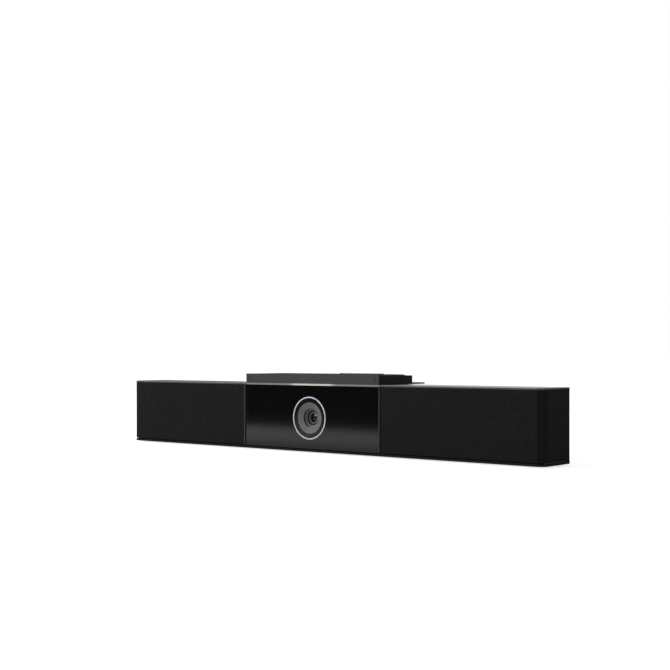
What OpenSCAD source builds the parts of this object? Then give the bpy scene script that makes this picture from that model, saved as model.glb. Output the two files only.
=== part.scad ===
// Conference camera bar with its folding clamp.
// Millimetres. +Z is up, +X is to the viewer's right and the lens looks along -Y.
// The origin is on the surface that the bar stands on, in the middle of the width and of the whole depth.
// Places in the modules are measured from the bar's front face and underside: see from_front().

/* [Bar] */
// Length of the bar
bar_w = 430; // [400:1:460]
// Height of the bar without its feet
bar_h = 55; // [54:0.5:60]
// Depth of the grille sections, from the front face to the back wall
end_d = 37.5; // [37:0.5:42]
// Radius of the two front corners, seen from above
corner_r = 7; // [5:0.5:9]
// Radius of the two back corners, seen from above
back_corner_r = 1; // [1:0.5:3]
// Thickness of the top cover
top_rim = 1.4; // [1.2:0.1:2]
// Thickness of the bottom cover
bottom_rim = 1.8; // [1.5:0.1:2.4]
// Rounding of the covers' outer edges
edge_round = 0.5; // [0.2:0.1:0.8]
// Height of the shadow gap between the bottom cover and the fronts
shadow_gap = 0.7; // [0.4:0.1:1.2]
// Wall of the rear housing and the speaker boxes
wall = 2; // [1.6:0.1:2.4]
// Height of the rubber feet
foot_h = 1; // [0.6:0.1:1.4]

/* [Rear hump] */
// Width of the deeper middle of the rear housing, as a share of the bar's length
hump_w_share = 0.7; // [0.68:0.01:0.74]
// How far it stands behind the back wall
hump_d = 22.5; // [21:0.5:28]
// How far its top lies below the top of the bar
hump_drop = 3; // [2:0.5:5]
// Radius of its back corners, seen from above
hump_r = 6; // [3:0.5:9]

/* [Centre panel] */
// Width of the glossy window
panel_w = 140.8; // [130:0.2:150]
// Width of the groove on each side of it
groove_w = 3; // [2:0.1:4]
// Depth of that groove
groove_depth = 1.5; // [0.8:0.1:1.6]
// Thickness of the window
window_t = 2.3; // [2:0.1:3]
// Depth of the light bar over the window
light_bar_d = 3.2; // [2.5:0.1:3.6]

/* [Lens] */
// Height of the lens axis, as a share of the bar's height
lens_z_share = 0.496; // [0.48:0.002:0.52]
// Outer radius of the silver ring
ring_r = 17.3; // [16.5:0.1:19]
// Width of the silver ring
ring_w = 1.0; // [0.8:0.1:1.6]
// How far the ring stands proud of the window
ring_proud = 0.3; // [0.1:0.1:0.6]
// Radius of the grey cone at its mouth
cone_r = 12.5; // [11.5:0.1:13.2]
// Radius of the step in the cone
step_r = 7.7; // [7.2:0.1:9]
// Depth at which the step starts
step_depth = 1.9; // [1.6:0.1:2.4]
// Height of the step
step_h = 1.4; // [1:0.1:1.8]
// Radius of the throat round the lens barrel
throat_r = 6; // [5.8:0.1:6.4]
// Depth at which the throat starts
throat_depth = 4.6; // [4.4:0.1:5]
// Radius of the opening in front of the lens
pupil_r = 3.75; // [3:0.05:4]
// Depth of the barrel's front edge
pupil_depth = 5.2; // [5:0.1:5.6]

/* [Grilles] */
// Wall of the grille frames under the cloth
grille_t = 1.8; // [1.4:0.1:2.2]
// Thickness of the acoustic cloth
cloth_t = 0.75; // [0.5:0.05:0.9]
// How far the cloth lies inside the covers' edge
cloth_inset = 0.1; // [0.1:0.1:0.8]
// Width of the sound slots in the frames
slot_w = 3; // [2:0.1:3.6]
// Distance from one slot to the next
slot_pitch = 8; // [6:0.5:10]

/* [Speakers] */
// Outer radius of a driver's flange
driver_r = 22; // [20:0.5:22.5]
// Place of each driver along its speaker box, as a share of the box's width
driver_x_share = 0.54; // [0.5:0.01:0.6]
// Radius of the moving cone
driver_cone_r = 17; // [15:0.5:17.5]
// Radius of the magnet
magnet_r = 15; // [13:0.5:17]

/* [Clamp] */
// Height of the clamp above the bar
clamp_h = 7.8; // [7.4:0.1:10]
// Depth of the clamp's block from the front face
block_d = 45; // [38:0.5:48]
// Thickness of the steel bracket under the block
bracket_t = 1.2; // [1:0.1:1.4]
// Width of the bracket's flange behind the bar
flange_w = 90; // [84:1:96]
// Height of that flange
flange_h = 34; // [33:0.5:38]
// Thickness of the light front plate
front_plate_t = 1.2; // [1:0.1:3]
// Thickness of the rubber pad on the clamp's block
top_pad_t = 0.8; // [0.6:0.1:1.2]
// Distance from the hinge pin to the foot's pin
leg_l = 41; // [38:0.5:44]
// Width of the leg
leg_w = 32; // [28:0.5:36]
// Thickness of the leg
leg_t = 4; // [3:0.1:4.4]
// Radius of the hinge pin
hinge_pin_r = 2; // [1.5:0.1:2.2]
// Radius of the foot's pin
foot_pin_r = 1.5; // [1.2:0.1:1.8]
// Width of the foot
foot_w = 44; // [36:1:50]
// Height of the foot
foot_l = 24; // [20:0.5:26]
// Thickness of the foot's plate
foot_t = 2.5; // [2:0.1:3]
// Thickness of the foot's gel pad
foot_pad_t = 1.2; // [0.8:0.1:2]

/* [Connections] */
// Width of the recess for the sockets
bay_w = 44; // [40:1:48]
// Height of that recess
bay_h = 18; // [17:0.5:20]
// Depth of that recess
bay_depth = 8; // [7:0.5:9]
// Radius of the tripod socket's bore (1/4 inch thread)
tripod_r = 3.175; // [3.1:0.005:3.3]
// Length of the tripod socket's bore
tripod_l = 9; // [7:0.5:9]
// Radius of the bores of the wall-mount inserts (M4 thread)
insert_r = 2; // [1.6:0.05:2.1]
// Length of those bores
insert_l = 8; // [6:0.5:8]
// Distance between the two wall-mount inserts
insert_spacing = 220; // [212:1:230]

/* [Hidden] */
$fn = 96;
hull_fn = 32;

// Clearances and the overrun of cuts
over = 1;
seat_gap = 0.3;
glue_gap = 0.05;
run_fit = 0.05;

// Levels of the bar
fronts_z = [bottom_rim + shadow_gap, bar_h - top_rim];
inner_z = [bottom_rim, bar_h - top_rim];
hump_w = bar_w * hump_w_share;
hump_back = end_d + hump_d;
hump_top = bar_h - hump_drop;
hump_in_back = hump_back - wall;
back_wall_y = end_d - wall;
frame_inset = cloth_inset + cloth_t + glue_gap;
section_x = panel_w / 2 + groove_w;
section_edge_w = 0.8;
section_edge_inset = 0.2;

// Window carrier and chassis
carrier_t = 2;
carrier_back = window_t + carrier_t;
main_board_set = 2.5;
main_board_y = back_wall_y - main_board_set;
board_post_l = 7;
chassis_y = main_board_y - board_post_l;
chassis_t = 1.5;
chassis_back = chassis_y + chassis_t;
chassis_half = section_x + grille_t;
post_r = 3;
post_x_share = 0.78;
post_x = panel_w / 2 * post_x_share;
post_z_shares = [0.2, 0.8];

// Light bar, its guide blade and its board
blade_share = 0.54;
blade_half = panel_w / 2 * blade_share;
blade_drop = 3.3;
blade_t = 1.4;
led_w = 3.2;
led_h = 2.2;
led_t = 1.1;
led_count = 8;
led_pitch = 2 * blade_half / led_count;
led_board_h = 7;
board_t = 1.6;
led_y = [carrier_back + glue_gap, carrier_back + glue_gap + led_t];
led_board_y = [led_y[1], led_y[1] + board_t];

// Camera module
lens_z = bar_h * lens_z_share;
bezel_set = 0.3;
bezel_t = 2.2;
hood_lip = 0.2;
hood_flange_t = 1.8;
throat_l = 2.6;
hood_back = throat_depth + throat_l;
nose_wall = 1.5;
nose_chamfer = 0.4;
pupil_set = 0.9;
standoff_l = 2.4;
camera_board_y = chassis_y - standoff_l - board_t;
sensor_room = 2.5;
barrel_r = 6.5;
barrel_y = [hood_back + seat_gap, camera_board_y - sensor_room];
barrel_l = barrel_y[1] - barrel_y[0];
barrel_bore_r = pupil_r - nose_wall / 2;
front_element_t = 2.4;
dome_rise = 0.9;
element_y = pupil_depth + pupil_set + dome_rise;
element_back = element_y + front_element_t;
element_t = 1.5;
element_shares = [0.44, 0.69];
camera_board_size = 32;
holder_size = 17;
holder_l = 7.5;
holder_cavity = 11;
sensor_size = 8;
sensor_t = 1.1;
standoff_r = 2.2;
standoff_inset = 4;
ribbon_w = 12;
ribbon_t = 0.4;
ribbon_share = 0.55;
ribbon_z = inner_z[0] + (lens_z - camera_board_size / 2 - inner_z[0]) * ribbon_share;

// Speakers and microphones
box_set = 4;
box_front = frame_inset + grille_t + box_set;
box_margin = 8;
box_end_margin = 0.5;
box_x = [section_x + box_margin, bar_w / 2 - corner_r - box_end_margin];
driver_x = box_x[0] + (box_x[1] - box_x[0]) * driver_x_share;
flange_t = 2;
basket_wall = 0.9;
basket_depth = 13.5;
basket_straight = 4;
basket_plate_t = 1.5;
surround_w = 2;
surround_t = 0.5;
cone_t = 0.7;
cone_set = 1;
cone_front = box_front + cone_set;
coil_r = 6.2;
coil_wall = 0.5;
coil_l = 9.6;
cap_rise = 2.2;
cap_shoulder_share = 0.75;
pole_r = 5.2;
gap_r = 6.9;
top_plate_t = 2.5;
magnet_t = 5;
back_plate_t = 2.5;
basket_windows = 4;
basket_window_w = 9;
driver_z = bar_h / 2;
driver_back = box_front + basket_depth + basket_plate_t;
mic_r = 2;
mic_t = 1.2;
mic_shares = [0.12, 0.5, 0.88];
mic_board_w = 34;
mic_board_x = [box_x[0], box_x[0] + mic_board_w];
mic_board_h = 6;
mic_board_drop = 1.6;
mic_board_z = [inner_z[1] - mic_board_drop - mic_board_h, inner_z[1] - mic_board_drop];
mic_board_t = 1.2;

// Main board and what it carries
main_board_share = 0.88;
main_board_half = chassis_half * main_board_share;
board_margin = 4.4;
main_board_z = [inner_z[0] + board_margin, hump_top - board_margin];
board_post_r = 2.5;
board_post_inset = 5;
board_post_x = main_board_half - board_post_inset;
board_post_z = [main_board_z[0] + board_post_inset, main_board_z[1] - board_post_inset];
chip_t = 2;
chip_sides = [22, 12, 12, 9];
// Place of each chip, as shares of the board's half width and of its height
chip_shares = [[-0.3, 0.53], [0.45, 0.67], [0.45, 0.24], [0.76, 0.53]];
sink_w = 56;
sink_h_share = 0.77;
sink_h = (main_board_z[1] - main_board_z[0]) * sink_h_share;
sink_base_t = 2;
sink_fin_l = 11;
sink_fin_t = 1.2;
sink_fins = 10;

// Sockets in the recess
bay_margin = 8;
bay_x = flange_w / 2 + bay_margin;
bay_rise = 10.2;
bay_z = inner_z[0] + bay_rise;
bay_floor = hump_back - bay_depth;
bay_in = bay_floor - wall;
port_rise = 1.4;
port_board_z = bay_z + port_rise;
port_board_y = [back_wall_y + seat_gap, bay_in - seat_gap];
port_top = port_board_z + board_t;
usb_w = 9;
usb_h = 3.3;
usb_wall = 0.4;
usb_tongue_w = 4.6;
usb_l = 10;
usb_share = 0.45;
usb_x = bay_x + bay_w * usb_share;
usb_proud = 0.4;
jack_w = 9;
jack_h = 11;
jack_l = 13;
jack_r = 2.8;
jack_pin_r = 1;
jack_share = 0.8;
jack_x = bay_x + bay_w * jack_share;
jack_floor = 2;
button_r = 1.8;
button_flange_r = 2.4;
button_flange_t = 0.6;
button_share = 0.18;
button_x = bay_x + bay_w * button_share;
button_proud = 0.8;
button_travel = 0.6;
button_back = 1.4;
switch_w = 6;
button_z = port_top + switch_w / 2;
switch_l = 3.5;
switch_gap = 0.2;

// Fixings
boss_wall = 2.5;
tripod_share = 0.42;
tripod_y = end_d + hump_d * tripod_share;
tripod_insert_wall = 2;
insert_wall = 1.2;
insert_z = bar_h / 2;
lock_margin = 28;
lock_x = lock_margin - insert_spacing / 2;
lock_w = 7;
lock_h = 3;
lock_plate_w = 16;
lock_plate_h = 12;
screw_r = 1.5;
screw_head_r = 2.8;
screw_head_t = 1.3;
screw_l = 7;
screw_margin = 14;
screw_end_margin = 10;
screw_x = [hump_w / 2 + screw_margin, bar_w / 2 - corner_r - screw_end_margin];
screw_z_shares = [0.18, 0.82];
screw_z = bar_h * screw_z_shares;
bracket_screw_r = 2;
bracket_head_r = 3.5;
bracket_head_t = 1.8;
bracket_screw_l = 7;
bracket_screw_share = 0.8;
bracket_screw_x = flange_w / 2 * bracket_screw_share;
flange_hole_shares = [0.76, 0.38];
bracket_screw_z = [for (share = flange_hole_shares) bar_h - flange_h * share];
vent_w = 1.6;
vent_l = 12;
vent_pitch = 5;
vent_count = 18;
foot_strip_w = 8;
// Ends of the feet, as shares of half the bar's length and half the hump's width
front_foot_shares = [0.28, 0.84];
rear_foot_shares = [0.4, 0.92];
front_foot_share = 0.37;
front_foot_y = end_d * front_foot_share;
rear_foot_margin = 4;
rear_foot_y = hump_back - rear_foot_margin - foot_strip_w;

// Clamp
clamp_lap = 0.1;
clamp_w = panel_w + 2 * clamp_lap;
clamp_top = bar_h + clamp_h;
block_z = [bar_h + bracket_t, clamp_top - top_pad_t];
block_front = front_plate_t + seat_gap;
block_r = 1.2;
block_wall = 2.4;
block_pockets = 4;
pad_margin = 4;
mark_set = 3.9;
mark_x = clamp_w / 2 - mark_set;
mark_w = 0.6;
mark_depth = 0.5;
mark_margin = 1.6;
bracket_back = hump_back + bracket_t;
ear_r = 3.8;
ear_t = 2.8;
ear_gap = 0.4;
ear_web_h = 7.6;
knuckle_half = 19.6;
hinge_set = 6.3;
hinge_y = bracket_back + hinge_set;
hinge_z = clamp_top - ear_r;
ear_x = knuckle_half + ear_gap;
leg_end_half = 8;
foot_set = 2;
foot_y = hinge_y + leg_t / 2 + foot_set;
foot_z = hinge_z - leg_l;
foot_boss_r = 3.2;
foot_lug_t = 3;
foot_gap = 0.3;
foot_plate_y = foot_y + foot_boss_r + foot_gap;
foot_r = 4;
overall_d = foot_plate_y + foot_t + foot_pad_t;
front_y = -(overall_d - ring_proud) / 2;

// Moves a piece from the bar's front face and underside to the part's own frame
module from_front() translate([0, front_y, foot_h]) children();

// A box between two places along each axis
module box(x, y, z) translate([x[0], y[0], z[0]]) cube([x[1] - x[0], y[1] - y[0], z[1] - z[0]]);

// A cylinder along each axis
module rod_y(r, y, x = 0, z = 0) translate([x, y[0], z]) rotate([-90, 0, 0]) cylinder(r = r, h = y[1] - y[0]);
module rod_x(r, x, y, z) translate([x[0], y, z]) rotate([0, 90, 0]) cylinder(r = r, h = x[1] - x[0]);
module rod_z(r, z, x, y) translate([x, y, z[0]]) cylinder(r = r, h = z[1] - z[0]);

// A profile turned about an axis along Y: its x is the radius and its y the depth behind the front face
module turned(x, z) translate([x, 0, z]) rotate([-90, 0, 0]) rotate_extrude() children();

// A profile in Y and Z, as thick as the span x
module side_profile(x) translate([x[0], 0, 0]) rotate([90, 0, 90]) linear_extrude(x[1] - x[0]) children();

// A rectangle with round corners, centred on x
module round_rect(w, y, r) {
    translate([-w / 2 + r, y[0]]) square([w - 2 * r, y[1] - y[0]]);
    translate([-w / 2, y[0] + r]) square([w, y[1] - y[0] - 2 * r]);
    for (s = [-1, 1], p = [y[0] + r, y[1] - r]) translate([s * (w / 2 - r), p]) circle(r);
}

// The bar from above, drawn in by inset at the front and ends, as deep as back
module bar_plan(inset, back) {
    half = bar_w / 2 - inset;
    r = corner_r - inset;
    translate([-half + r, inset]) square([2 * (half - r), r]);
    translate([-half, inset + r]) square([2 * half, back - inset - r]);
    for (s = [-1, 1]) translate([s * (half - r), inset + r]) circle(r);
}

// The hump from above, drawn in by inset
module hump_plan(inset) {
    half = hump_w / 2 - inset;
    r = hump_r - inset;
    translate([-half, back_wall_y]) square([2 * half, hump_back - inset - r - back_wall_y]);
    translate([-half + r, hump_back - inset - r]) square([2 * (half - r), r]);
    for (s = [-1, 1]) translate([s * (half - r), hump_back - inset - r]) circle(r);
}

// A cover plate whose upper outer edge is rounded
module cover_corner(r, t) {
    rotate_extrude($fn = hull_fn) {
        square([r - edge_round, t]);
        square([r, t - edge_round]);
        translate([r - edge_round, t - edge_round]) circle(edge_round);
    }
}
module cover_plate(t) {
    hull() {
        for (s = [-1, 1]) {
            translate([s * (bar_w / 2 - corner_r), corner_r, 0]) cover_corner(corner_r, t);
            translate([s * (bar_w / 2 - back_corner_r), end_d - back_corner_r, 0])
                cover_corner(back_corner_r, t);
        }
    }
}

// Outer shells

module top_cover() color("#1b1b1d") from_front() difference() {
    translate([0, 0, bar_h - top_rim]) cover_plate(top_rim);
    box([-panel_w / 2 - seat_gap, panel_w / 2 + seat_gap], [-over, light_bar_d], [-over, bar_h + over]);
}

module bottom_cover() color("#1b1b1d") from_front() difference() {
    union() {
        translate([0, 0, bottom_rim]) mirror([0, 0, 1]) cover_plate(bottom_rim);
        linear_extrude(bottom_rim) hump_plan(0);
        rod_z(tripod_r + tripod_insert_wall + boss_wall, [0, tripod_l], 0, tripod_y);
    }
    rod_z(tripod_r + tripod_insert_wall + glue_gap, [-over, tripod_l + over], 0, tripod_y);
}

module rear_housing() color("#151516") from_front() difference() {
    union() {
        translate([0, 0, inner_z[0]]) linear_extrude(inner_z[1] - inner_z[0]) intersection() {
            round_rect(bar_w - 2 * cloth_inset, [corner_r, end_d], back_corner_r);
            translate([-bar_w / 2, back_wall_y]) square([bar_w, wall]);
        }
        translate([0, 0, inner_z[0]]) linear_extrude(hump_top - inner_z[0]) hump_plan(0);
    }
    // The hollow of the hump, and the way into it through the back wall
    difference() {
        translate([0, 0, inner_z[0] - over]) linear_extrude(hump_top - wall - inner_z[0] + over) union() {
            hump_plan(wall);
            translate([-hump_w / 2 + wall, back_wall_y - over]) square([hump_w - 2 * wall, over + over]);
        }
        box([bay_x - wall, bay_x + bay_w + wall], [bay_in, hump_back], [bay_z - wall, bay_z + bay_h + wall]);
        for (s = [-1, 1]) {
            rod_y(insert_r + insert_wall + boss_wall, [hump_back - insert_l, hump_back],
                s * insert_spacing / 2, insert_z);
            for (z = bracket_screw_z)
                rod_y(bracket_screw_r + boss_wall, [hump_back - bracket_screw_l, hump_back],
                    s * bracket_screw_x, z);
        }
    }
    // The recess for the sockets, and the holes in its floor
    box([bay_x, bay_x + bay_w], [bay_floor, hump_back + over], [bay_z, bay_z + bay_h]);
    box([usb_x - usb_w / 2 - glue_gap, usb_x + usb_w / 2 + glue_gap], [bay_in - over, bay_floor + over],
        [port_top - glue_gap, port_top + usb_h + glue_gap]);
    rod_y(jack_r, [bay_in - over, bay_floor + over], jack_x, port_top + jack_h / 2);
    rod_y(button_r + seat_gap, [bay_in - over, bay_floor + over], button_x, button_z);
    // Fixing holes, the lock slot and the vents
    for (s = [-1, 1]) {
        rod_y(insert_r + insert_wall + glue_gap, [hump_back - insert_l - over, hump_back + over],
            s * insert_spacing / 2, insert_z);
        for (z = bracket_screw_z)
            rod_y(bracket_screw_r + glue_gap, [hump_back - bracket_screw_l - over, hump_back + over],
                s * bracket_screw_x, z);
        for (x = screw_x, z = screw_z)
            rod_y(screw_r + glue_gap, [back_wall_y - over, end_d + over], s * x, z);
    }
    box([lock_x - lock_w / 2, lock_x + lock_w / 2], [hump_in_back - over, hump_back + over],
        [insert_z - lock_h / 2, insert_z + lock_h / 2]);
    for (i = [0 : vent_count - 1])
        translate([(i - (vent_count - 1) / 2) * vent_pitch, 0, 0])
            box([-vent_w / 2, vent_w / 2], [end_d + wall, end_d + wall + vent_l],
                [hump_top - wall - over, hump_top + over]);
}

module chassis() color("#9a9da0") from_front() difference() {
    union() {
        box([-chassis_half, chassis_half], [chassis_y, chassis_back], inner_z);
        for (s = [-1, 1]) {
            box([s * chassis_half - chassis_t / 2, s * chassis_half + chassis_t / 2],
                [window_t + grille_t + seat_gap, chassis_back], inner_z);
            for (z = board_post_z)
                rod_y(board_post_r, [chassis_y, main_board_y], s * board_post_x, z);
            for (t = [-1, 1]) {
                at = camera_board_size / 2 - standoff_inset;
                rod_y(standoff_r, [camera_board_y + board_t, chassis_back], s * at, lens_z + t * at);
            }
        }
    }
    box([-ribbon_w / 2 - over, ribbon_w / 2 + over], [chassis_y - over, chassis_back + over],
        [ribbon_z - over, ribbon_z + ribbon_t + over]);
}

// Grille sections, left (-1) and right (1)

module grille_section(side, inset, depth, z, from_x = section_x) {
    translate([0, 0, z[0]]) linear_extrude(z[1] - z[0]) intersection() {
        difference() {
            bar_plan(inset, end_d);
            bar_plan(inset + depth, end_d + over);
        }
        translate([side > 0 ? from_x : -bar_w / 2, 0])
            square([bar_w / 2 - from_x, back_wall_y - seat_gap]);
    }
}

module grille_frame(side) color("#101011") from_front() {
    slots = floor((bar_w / 2 - corner_r - section_x - slot_pitch) / slot_pitch);
    slot_z = [fronts_z[0] + slot_pitch / 2, fronts_z[1] - slot_pitch / 2];
    difference() {
        union() {
            grille_section(side, frame_inset, grille_t, fronts_z);
            grille_section(side, frame_inset + grille_t / 2, grille_t / 2, inner_z);
            edge_x = [side * section_x, side * (section_x + section_edge_w)];
            box([min(edge_x), max(edge_x)], [section_edge_inset, frame_inset + grille_t], fronts_z);
        }
        for (i = [1 : slots], half = [0, 1]) {
            x = side * (section_x + i * slot_pitch);
            middle = (slot_z[0] + slot_z[1]) / 2;
            box([x - slot_w / 2, x + slot_w / 2], [0, frame_inset + grille_t + over],
                half == 0 ? [slot_z[0], middle - slot_w / 2] : [middle + slot_w / 2, slot_z[1]]);
        }
    }
}

module grille_cloth(side) color("#262628") from_front()
    grille_section(side, cloth_inset, cloth_t, fronts_z, section_x + section_edge_w + glue_gap);

// A dark strip along the floor of each groove
module panel_trims() color("#3a3a3c") from_front() for (s = [-1, 1]) {
    edges = [s * (panel_w / 2 + glue_gap), s * (section_x - glue_gap)];
    box([min(edges), max(edges)], [groove_depth, window_t], fronts_z);
}

// Centre panel

module front_window() color("#0b0b0d") from_front() difference() {
    box([-panel_w / 2, panel_w / 2], [0, window_t], fronts_z);
    rod_y(ring_r + glue_gap, [-over, window_t + over], 0, lens_z);
}

module panel_carrier() color("#202022") from_front() {
    half = section_x - glue_gap;
    difference() {
        union() {
            box([-half, half], [window_t, carrier_back], inner_z);
            for (s = [-1, 1], share = post_z_shares)
                rod_y(post_r, [window_t, chassis_y], s * post_x, bar_h * share);
        }
        rod_y(ring_r - ring_w + glue_gap, [0, carrier_back + over], 0, lens_z);
        box([-blade_half - seat_gap, blade_half + seat_gap], [0, carrier_back + over],
            [fronts_z[1] - blade_drop - seat_gap, bar_h]);
    }
}

module light_bar() color("#e9edd6") from_front() {
    box([-panel_w / 2, panel_w / 2], [0, light_bar_d - glue_gap], [fronts_z[1], bar_h]);
    box([-blade_half, blade_half], [window_t + glue_gap, window_t + glue_gap + blade_t],
        [fronts_z[1] - blade_drop, fronts_z[1]]);
}

module led_board() color("#1d4d2c") from_front()
    box([-blade_half, blade_half], led_board_y,
        [fronts_z[1] - seat_gap - led_board_h, fronts_z[1] - seat_gap]);

module status_leds() color("#f4f2d8") from_front()
    for (i = [0 : led_count - 1]) {
        x = (i - (led_count - 1) / 2) * led_pitch;
        box([x - led_w / 2, x + led_w / 2], led_y, [fronts_z[1] - seat_gap - led_h, fronts_z[1] - seat_gap]);
    }

// Lens and camera module

module lens_ring() color("#c9c9cb") from_front() turned(0, lens_z)
    translate([ring_r - ring_w, -ring_proud]) square([ring_w, window_t + ring_proud]);

module lens_bezel() color("#0d0d0e") from_front() turned(0, lens_z)
    translate([cone_r + hood_lip + glue_gap, bezel_set])
        square([ring_r - ring_w - cone_r - hood_lip - 2 * glue_gap, bezel_t]);

module lens_hood() color("#707072") from_front() turned(0, lens_z) {
    bezel_back = bezel_set + bezel_t;
    polygon([
        [cone_r, bezel_set],
        [step_r, step_depth],
        [step_r, step_depth + step_h],
        [throat_r, throat_depth],
        [throat_r, hood_back],
        [cone_r, hood_back],
        [cone_r + hood_lip, bezel_back + hood_flange_t],
        [ring_r - ring_w, bezel_back + hood_flange_t],
        [ring_r - ring_w, bezel_back],
        [cone_r + hood_lip, bezel_back],
        [cone_r + hood_lip, bezel_set]
    ]);
}

module lens_front_element() color("#1a1c2a") from_front() turned(0, lens_z) {
    element_r = pupil_r - glue_gap;
    curve_r = (pow(element_r, 2) + pow(dome_rise, 2)) / (2 * dome_rise);
    intersection() {
        translate([0, element_y - dome_rise + curve_r]) circle(curve_r);
        translate([0, element_y - dome_rise]) square([element_r, dome_rise]);
    }
    translate([0, element_y]) square([element_r, front_element_t]);
}

// Its nose stands in the hood's throat, with a gap all round
module lens_barrel() color("#1c1c1e") from_front() turned(0, lens_z) polygon([
    [pupil_r, pupil_depth],
    [pupil_r + nose_wall - nose_chamfer, pupil_depth],
    [pupil_r + nose_wall, pupil_depth + nose_chamfer],
    [pupil_r + nose_wall, barrel_y[0]],
    [barrel_r, barrel_y[0]],
    [barrel_r, barrel_y[1]],
    [barrel_bore_r, barrel_y[1]],
    [barrel_bore_r, element_back + glue_gap],
    [pupil_r, element_back + glue_gap]
]);

module inner_lens_elements() color("#27304a") from_front() for (share = element_shares) {
    y = barrel_y[0] + barrel_l * share;
    rod_y(barrel_bore_r - glue_gap, [y, y + element_t], 0, lens_z);
}

module lens_holder() color("#232325") from_front() difference() {
    holder_y = camera_board_y - holder_l;
    box([-holder_size / 2, holder_size / 2], [holder_y, camera_board_y],
        [lens_z - holder_size / 2, lens_z + holder_size / 2]);
    rod_y(barrel_r + glue_gap, [holder_y - over, barrel_y[1] + seat_gap], 0, lens_z);
    box([-holder_cavity / 2, holder_cavity / 2], [barrel_y[1], camera_board_y + over],
        [lens_z - holder_cavity / 2, lens_z + holder_cavity / 2]);
}

module image_sensor() color("#39395a") from_front()
    box([-sensor_size / 2, sensor_size / 2], [camera_board_y - sensor_t, camera_board_y],
        [lens_z - sensor_size / 2, lens_z + sensor_size / 2]);

module camera_board() color("#1d4d2c") from_front()
    box([-camera_board_size / 2, camera_board_size / 2], [camera_board_y, camera_board_y + board_t],
        [lens_z - camera_board_size / 2, lens_z + camera_board_size / 2]);

// A flat cable from the camera board through the chassis to the main board
module camera_ribbon() color("#d8d2c0") from_front() {
    board_back = camera_board_y + board_t;
    side_profile([-ribbon_w / 2, ribbon_w / 2]) polygon([
        [board_back, lens_z - camera_board_size / 2 + standoff_inset],
        [board_back, ribbon_z],
        [main_board_y, ribbon_z],
        [main_board_y, ribbon_z + ribbon_t],
        [board_back + ribbon_t, ribbon_z + ribbon_t],
        [board_back + ribbon_t, lens_z - camera_board_size / 2 + standoff_inset]
    ]);
}

// Microphones

module microphone_boards() color("#1d4d2c") from_front() for (s = [-1, 1])
    box([min(s * mic_board_x[0], s * mic_board_x[1]), max(s * mic_board_x[0], s * mic_board_x[1])],
        [box_front - mic_board_t, box_front], mic_board_z);

module microphones() color("#b9a35c") from_front() for (s = [-1, 1], share = mic_shares) {
    x = mic_board_x[0] + (mic_board_x[1] - mic_board_x[0]) * share;
    rod_y(mic_r, [box_front - mic_board_t - mic_t, box_front - mic_board_t], s * x,
        (mic_board_z[0] + mic_board_z[1]) / 2);
}

// Speakers, left (-1) and right (1)

module speaker_box(side) color("#2b2b2d") from_front() difference() {
    outer_x = [min(side * box_x[0], side * box_x[1]), max(side * box_x[0], side * box_x[1])];
    outer_y = [box_front, back_wall_y - seat_gap];
    outer_z = [inner_z[0] + seat_gap, inner_z[1] - seat_gap];
    box(outer_x, outer_y, outer_z);
    box([outer_x[0] + wall, outer_x[1] - wall], [outer_y[0] + wall, outer_y[1] - wall],
        [outer_z[0] + wall, outer_z[1] - wall]);
    rod_y(driver_cone_r + surround_w + seat_gap + basket_wall + seat_gap, [0, box_front + wall + over],
        side * driver_x, driver_z);
    for (x = screw_x, z = screw_z) rod_y(screw_r + glue_gap, [back_wall_y - wall - over, end_d], side * x, z);
}

module speaker_basket(side) color("#3c3c3f") from_front() difference() {
    rim_r = driver_cone_r + surround_w + seat_gap;
    back_y = box_front + basket_depth;
    turned(side * driver_x, driver_z) polygon([
        [rim_r, box_front - flange_t],
        [driver_r, box_front - flange_t],
        [driver_r, box_front],
        [rim_r + basket_wall, box_front],
        [rim_r + basket_wall, box_front + basket_straight],
        [magnet_r, back_y],
        [magnet_r, back_y + basket_plate_t],
        [gap_r, back_y + basket_plate_t],
        [gap_r, back_y],
        [magnet_r - basket_wall, back_y],
        [rim_r, box_front + basket_straight]
    ]);
    for (i = [0 : basket_windows - 1])
        translate([side * driver_x, 0, driver_z]) rotate([0, 360 / basket_windows * (i + 1 / 2), 0])
            box([0, driver_r], [box_front + basket_straight + over, back_y - over],
                [-basket_window_w / 2, basket_window_w / 2]);
}

module speaker_magnet(side) color("#6d6f72") from_front() turned(side * driver_x, driver_z) {
    ring_front = driver_back + top_plate_t;
    ring_back = ring_front + magnet_t;
    ring_in = (gap_r + magnet_r) / 2;
    polygon([
        [gap_r, driver_back],
        [magnet_r, driver_back],
        [magnet_r, ring_back + back_plate_t],
        [0, ring_back + back_plate_t],
        [0, driver_back],
        [pole_r, driver_back],
        [pole_r, ring_back],
        [ring_in, ring_back],
        [ring_in, ring_front],
        [gap_r, ring_front]
    ]);
}

// Paper cone, dust cap and voice coil, which move together
module speaker_cone(side) color("#1a1a1b") from_front() turned(side * driver_x, driver_z) {
    neck_y = cone_front + cap_rise + coil_r;
    polygon([
        [0, neck_y - cap_rise],
        [coil_r / 2, neck_y - cap_rise * cap_shoulder_share],
        [coil_r, neck_y],
        [driver_cone_r, cone_front],
        [driver_cone_r, cone_front + cone_t],
        [coil_r, neck_y + cone_t],
        [coil_r, neck_y + coil_l],
        [coil_r - coil_wall, neck_y + coil_l],
        [coil_r - coil_wall, neck_y + cone_t],
        [coil_r / 2, neck_y - cap_rise * cap_shoulder_share + cone_t],
        [0, neck_y - cap_rise + cone_t]
    ]);
}

module speaker_surround(side) color("#0e0e0f") from_front() turned(side * driver_x, driver_z)
    translate([driver_cone_r + surround_w / 2, cone_front + cone_t]) difference() {
        circle(surround_w / 2);
        circle(surround_w / 2 - surround_t);
        translate([-surround_w, 0]) square([2 * surround_w, surround_w]);
    }

// Electronics

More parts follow.
